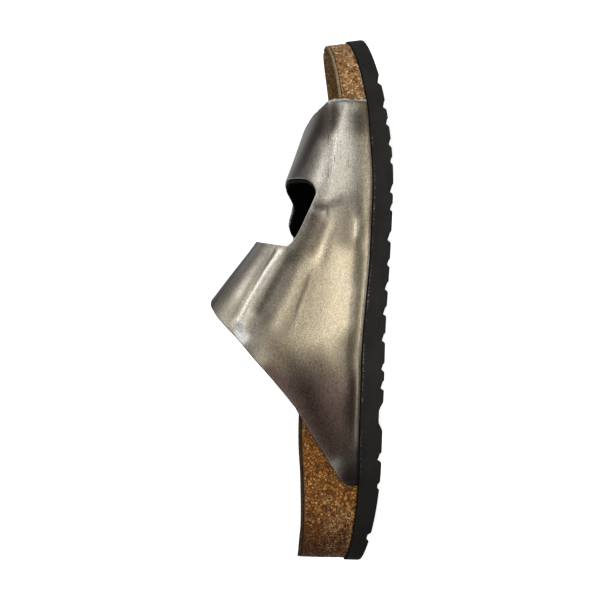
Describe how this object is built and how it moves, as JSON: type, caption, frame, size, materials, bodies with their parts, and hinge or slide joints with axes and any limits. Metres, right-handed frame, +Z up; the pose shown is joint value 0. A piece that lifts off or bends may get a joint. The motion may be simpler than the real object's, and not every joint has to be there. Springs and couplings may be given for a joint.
{
  "type": "double strap sandal",
  "caption": "Open slide sandal with a metallic leather upper of joined instep straps, side buckles, a contoured cork footbed and a grooved foam sole.",
  "frame": {"origin": "on the floor, under the middle of the sandal's box", "axes": "+X towards the toe, +Y towards the outer side of the foot, +Z up from the floor"},
  "size_m": [0.255, 0.0992, 0.084],
  "materials": {
    "sole_foam": "matt charcoal foam rubber",
    "cork": "granulated cork with a thin satin sealer, rubbed in places",
    "suede_lining": "brown suede, worn flat",
    "metallic_leather": "pewter metallic foil leather, satin, creased",
    "buckle_metal": "dark nickel, satin"
  },
  "bodies": {
    "root": {"outsole": "sole_foam", "footbed": "cork", "insole": "suede_lining", "upper": "metallic_leather", "front_buckle_frame": "buckle_metal", "front_buckle_prong": "buckle_metal", "rear_buckle_frame": "buckle_metal", "rear_buckle_prong": "buckle_metal"}
  },
  "joints": []
}
